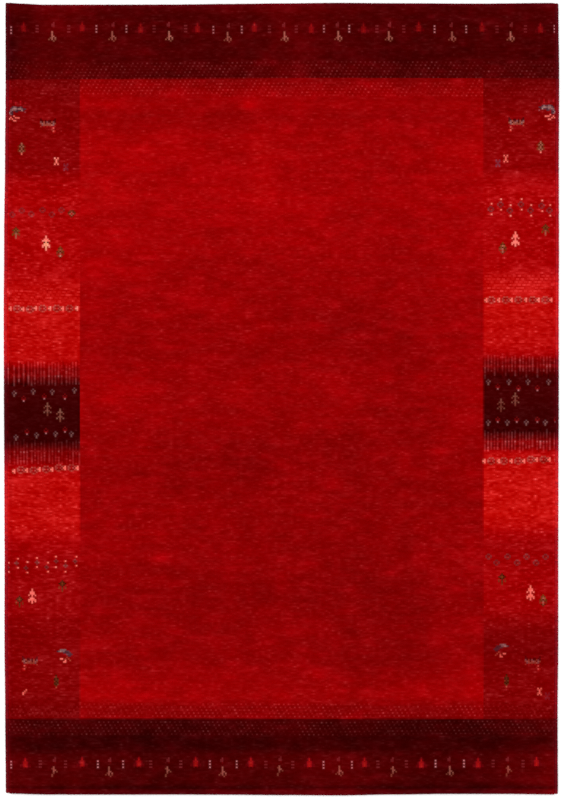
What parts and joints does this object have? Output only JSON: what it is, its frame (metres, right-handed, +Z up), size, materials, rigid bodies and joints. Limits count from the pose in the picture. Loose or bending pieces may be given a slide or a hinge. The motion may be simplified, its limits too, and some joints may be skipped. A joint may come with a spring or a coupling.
{
  "type": "gabbeh rug",
  "caption": "Flat hand-knotted wool gabbeh rug in reds, with dark banded ends, small woven figures, a plain field and wrapped side edges.",
  "frame": {"origin": "middle of the rug's bounding box, on its underside", "axes": "+X to the right edge as seen from above, +Y to the end at the top of the picture, +Z up out of the pile"},
  "size_m": [1.4046, 2.0041, 0.0147],
  "materials": {
    "pile_wool": "short cut wool pile, soft and matt, deep reds with small figures",
    "edge_wool": "wool yarn wrapped round the edge warps, matt purple red"
  },
  "bodies": {
    "root": {"rug": "pile_wool", "selvedge_left": "edge_wool", "selvedge_right": "edge_wool"}
  },
  "joints": []
}
